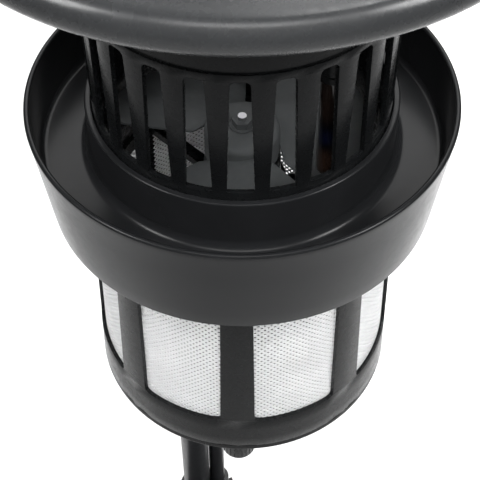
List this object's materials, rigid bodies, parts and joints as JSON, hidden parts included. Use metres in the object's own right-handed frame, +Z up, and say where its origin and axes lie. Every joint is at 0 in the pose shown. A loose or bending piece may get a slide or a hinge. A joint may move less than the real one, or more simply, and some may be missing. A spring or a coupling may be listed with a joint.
{
  "type": "fan insect trap",
  "caption": "Ultraviolet fan insect trap on a pole stand: lamps behind a slotted cage draw insects in, and a fan blows them into a mesh catch basket.",
  "frame": {"origin": "on the ground, on the vertical axis of the trap head, at the centre of the base plate", "axes": "+Z up along the trap's axis; -Y is the front, where the latch knob is; +X is to the right seen from the front"},
  "size_m": [0.3598, 0.3598, 1.1253],
  "materials": {
    "lid_plastic": "satin moulded, mid grey",
    "black_plastic": "satin charcoal moulding",
    "gloss_black": "semi-gloss charcoal moulding",
    "fan_grey": "satin grey",
    "mesh_silver": "perforated sheet, satin",
    "lamp_glass": "dark blue filter glass",
    "driver_case": "light grey case",
    "rocker_red": "translucent red",
    "screw_steel": "zinc plated",
    "motor_steel": "plated can",
    "bright_wire": "plated wire and sheet",
    "pole_paint": "powder coat, charcoal",
    "weight_iron": "rough cast",
    "foot_rubber": "matt black"
  },
  "bodies": {
    "trap": {"lid": "lid_plastic", "lid_underpan": "black_plastic", "lid_screws": "screw_steel", "bail_ears": "bright_wire", "head_drum": "black_plastic", "lamp_driver": "driver_case", "lamp_socket_front": "black_plastic", "lamp_socket_rear": "black_plastic", "uv_lamp_front": "lamp_glass", "uv_lamp_rear": "lamp_glass", "lamp_base_front": "black_plastic", "lamp_base_rear": "black_plastic", "switch_housing": "black_plastic", "entry_cage": "black_plastic", "deck_screws": "screw_steel", "collar": "gloss_black", "fan_housing": "black_plastic", "housing_screws": "screw_steel", "motor_spider": "black_plastic", "fan_motor": "motor_steel", "motor_end_cap": "motor_steel", "pole_bracket": "black_plastic", "bracket_screws": "screw_steel", "pole": "pole_paint", "cable_conduit": "pole_paint", "conduit_clips": "black_plastic", "base_socket": "black_plastic", "base_screws": "screw_steel", "base_plate": "pole_paint", "base_weight": "weight_iron", "rubber_feet": "foot_rubber", "power_inlet": "black_plastic"},
    "fan": {"motor_shaft": "screw_steel", "fan_rotor": "fan_grey", "hub_nut": "fan_grey"},
    "basket": {"basket_frame": "black_plastic", "basket_mesh": "mesh_silver", "door_hinge_pin": "screw_steel"},
    "door": {"basket_door": "black_plastic"},
    "latch": {"latch_knob": "black_plastic", "latch_pawl": "screw_steel"},
    "bail": {"hanging_bail": "bright_wire"},
    "rocker": {"switch_rocker": "rocker_red"},
    "clamp": {"clamp_knob": "black_plastic"}
  },
  "joints": [
    {"name": "fan_spin", "type": "hinge", "parent": "trap", "child": "fan", "pos_m": [0, 0, 0.85], "axis": [0, 0, 1], "continuous": true},
    {"name": "basket_twist", "type": "hinge", "parent": "trap", "child": "basket", "pos_m": [0, 0, 0.8], "axis": [0, 0, 1], "range_deg": [-26, 0]},
    {"name": "door_swing", "type": "hinge", "parent": "basket", "child": "door", "pos_m": [0.00482, 0.1199, 0.6335], "axis": [0.9992, -0.0401, 0], "range_deg": [0, 78]},
    {"name": "latch_turn", "type": "hinge", "parent": "door", "child": "latch", "pos_m": [-0.00392, -0.09752, 0.629], "axis": [0, 0, 1], "range_deg": [0, 90]},
    {"name": "bail_swing", "type": "hinge", "parent": "trap", "child": "bail", "pos_m": [0, 0, 1.11828], "axis": [1, 0, 0], "range_deg": [0, 194]},
    {"name": "rocker_press", "type": "hinge", "parent": "trap", "child": "rocker", "pos_m": [0, 0.0936, 1.0375], "axis": [1, 0, 0], "range_deg": [-20, 0]},
    {"name": "clamp_turn", "type": "hinge", "parent": "trap", "child": "clamp", "pos_m": [-0.07398, 0.13376, 0.766], "axis": [-0.9212, -0.3891, 0], "range_deg": [-720, 0]}
  ]
}
